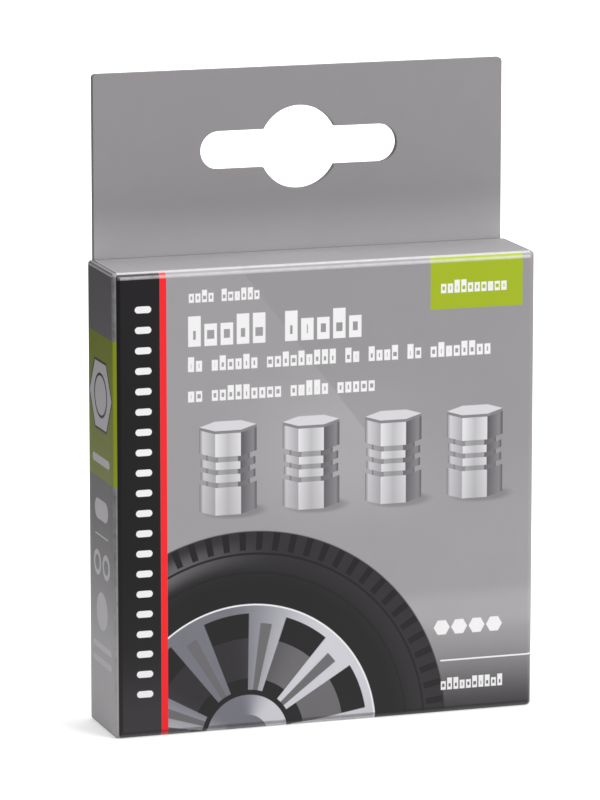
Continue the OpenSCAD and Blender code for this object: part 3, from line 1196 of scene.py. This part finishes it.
def dust_flap(top, side):
    """A dust flap with its fold on the side panel; side is -1 on the left and 1 on the right."""
    sheet = Sheet(f"{'top' if top else 'bottom'}_dust_flap_{'left' if side < 0 else 'right'}")
    path = dust_fold_path()
    fold_end = path.length
    reach = -DUST_TIP_X - path.point.x
    path.straight(reach - DUST_CORNER_R, steps=8)
    tip_turns = [math.sin(angle) for angle in spread(0, math.radians(90), TIP_STEPS)]
    for near, far in zip(tip_turns, tip_turns[1:]):
        path.straight(DUST_CORNER_R * (far - near))
    spans = []
    for station in path.stations:
        past = max(station.length - fold_end, 0.0)
        tip = rounded_tip(station.length, DUST_CORNER_R, path.length)
        low = DUST_FRONT_Y + tip
        high = DUST_BACK_Y - DUST_TAPER * past / reach - tip
        if station.length < fold_end - DUST_CUT_BACK:
            low = -FLAT_HALF_D
            high = FLAT_HALF_D - (BOARD_T + PLY_GAP if side > 0 else 0)
        spans.append(spread(low, high, FLAP_COLUMNS))

    def place(point, y):
        return (-side * point.x, y, level(top, point.y))

    def flat(s, y):
        return (side * (y - SIDE_MIDDLE), level(top, s - DUST_DROP - BEAD_SETBACK))

    lay(sheet, path.stations, spans, place, flat, ends=(False, True))
    piece = sheet.done()
    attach(piece, "carton")


def carton():
    """The board's pieces, with the folds between the front and the lids."""
    tube = carton_tube()
    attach(tube, "carton")
    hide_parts("carton_body")
    for top in (True, False):
        fold_strip(top)
        lid_board(top)
        for side in (-1, 1):
            dust_flap(top, side)


def dress_frame(prefix, material):
    """Gives the CAD nodes whose shape stays their own material."""
    for name, node in frame["nodes"].items():
        if name.startswith(prefix):
            node.data.materials.clear()
            node.data.materials.append(material)


# Camera, fitted to the photograph; its aim and shift are in millimetres
CAMERA_AZIMUTH = math.radians(-18.247)
CAMERA_ELEVATION = math.radians(11.098)
CAMERA_DISTANCE = 826.468
CAMERA_AIM_Z = 50.4
CAMERA_SHIFT = (-1.863, -0.592)
CAMERA_LENS = 239.79
CAMERA_SENSOR = 36
CAMERA_CLIP = (50, 20000)


def add(name, data):
    """A new object in the scene."""
    made = bpy.data.objects.new(name, data)
    bpy.context.scene.collection.objects.link(made)
    return made


def camera():
    back = Vector((
        math.sin(CAMERA_AZIMUTH) * math.cos(CAMERA_ELEVATION),
        -math.cos(CAMERA_AZIMUTH) * math.cos(CAMERA_ELEVATION),
        math.sin(CAMERA_ELEVATION),
    ))
    right = Vector((0, 0, 1)).cross(back).normalized()
    up = back.cross(right)
    made = add("camera", bpy.data.cameras.new("camera"))
    made.data.lens = CAMERA_LENS
    made.data.sensor_width = CAMERA_SENSOR
    made.data.clip_start, made.data.clip_end = (reach * MM for reach in CAMERA_CLIP)
    place = Vector((0, 0, CAMERA_AIM_Z)) + back * CAMERA_DISTANCE
    place += right * CAMERA_SHIFT[0] + up * CAMERA_SHIFT[1]
    made.matrix_world = Matrix.Translation(place * MM) @ Matrix((right, up, back)).transposed().to_4x4()
    bpy.context.scene.camera = made


def softbox(name, place, aim, size, power):
    """An area light at a place, turned to a point, both in millimetres."""
    data = bpy.data.lights.new(name, "AREA")
    data.shape = "RECTANGLE"
    data.size, data.size_y = (edge * MM for edge in size)
    data.energy = power
    made = add(name, data)
    made.location = Vector(place) * MM
    made.rotation_euler = (Vector(aim) - Vector(place)).to_track_quat("-Z", "Y").to_euler()


# Floor: half its width in metres, its paint, and its glow to the camera beside the object;
# then in millimetres from the middle where the glow grows full, and where the gloss grows full
FLOOR_REACH = 6.0
FLOOR_PAINT = grey(235, 0)
FLOOR_ROUGHNESS = 0.9
FLOOR_GLOW = 0.5
GLOW_FADE = (120, 600)
GLOSS_FADE = (420, 60)
WORLD_STRENGTH = 0.36


def floor_paint():
    """White to the camera but for the object's shadow; to glossy rays it glows as a painted reflection,
    less bright far off.
    """
    g = Graph(bpy.data.materials.new("floor_paint"))
    g.surface("Base Color", FLOOR_PAINT)
    g.surface("Roughness", FLOOR_ROUGHNESS)
    path = g.new("ShaderNodeLightPath").outputs
    away = g.vector_math("LENGTH", g.place()).outputs["Value"]
    bright = g.step(away, *(reach * MM for reach in GLOW_FADE))
    gloss = g.step(away, *(reach * MM for reach in GLOSS_FADE))
    glow = g.join("ShaderNodeEmission", grey(255, 0), g.vary(bright, low=FLOOR_GLOW, span=1 - FLOOR_GLOW))
    lit = g.join("ShaderNodeAddShader", g.shader.outputs[0], glow)
    seen = g.larger(path["Is Camera Ray"], path["Is Transmission Ray"])
    seen = g.join("ShaderNodeMixShader", seen, g.shader.outputs[0], lit)
    # Painted reflection: to glossy rays the floor glows, fully near the middle and fading out far off
    gloss = g.join("ShaderNodeEmission", grey(255, 0), gloss)
    chosen = g.join("ShaderNodeMixShader", path["Is Glossy Ray"], seen, gloss)
    g.put(g.nodes["Material Output"].inputs["Surface"], chosen)
    return g.owner


def floor():
    """A wide plain floor."""
    data = bpy.data.meshes.new("floor")
    corners = [(x * FLOOR_REACH, y * FLOOR_REACH, 0) for x, y in ((-1, -1), (1, -1), (1, 1), (-1, 1))]
    data.from_pydata(corners, [], [(0, 1, 2, 3)])
    data.materials.append(floor_paint())
    add("floor", data)


def world():
    """Soft even light, and white to the camera."""
    g = Graph(bpy.data.worlds.new("studio"))
    bpy.context.scene.world = g.owner
    light = g.join("ShaderNodeBackground", grey(255, 0), WORLD_STRENGTH)
    backdrop = g.join("ShaderNodeBackground", grey(255, 0), 1.0)
    path = g.new("ShaderNodeLightPath").outputs
    chosen = g.join("ShaderNodeMixShader", path["Is Camera Ray"], light, backdrop)
    g.put(g.nodes["World Output"].inputs["Surface"], chosen)


camera()
carton()
dress_frame("valve_cap", brushed_aluminium())
dress_frame("cap_seal", moulded_rubber())
floor()
world()
softbox("key", place=(500, -700, 800), aim=(0, 0, 50), size=(500, 500), power=6.6)
softbox("overhead", place=(180, 60, 900), aim=(0, 0, 60), size=(700, 430), power=5)
bpy.context.scene.view_settings.view_transform = "Standard"
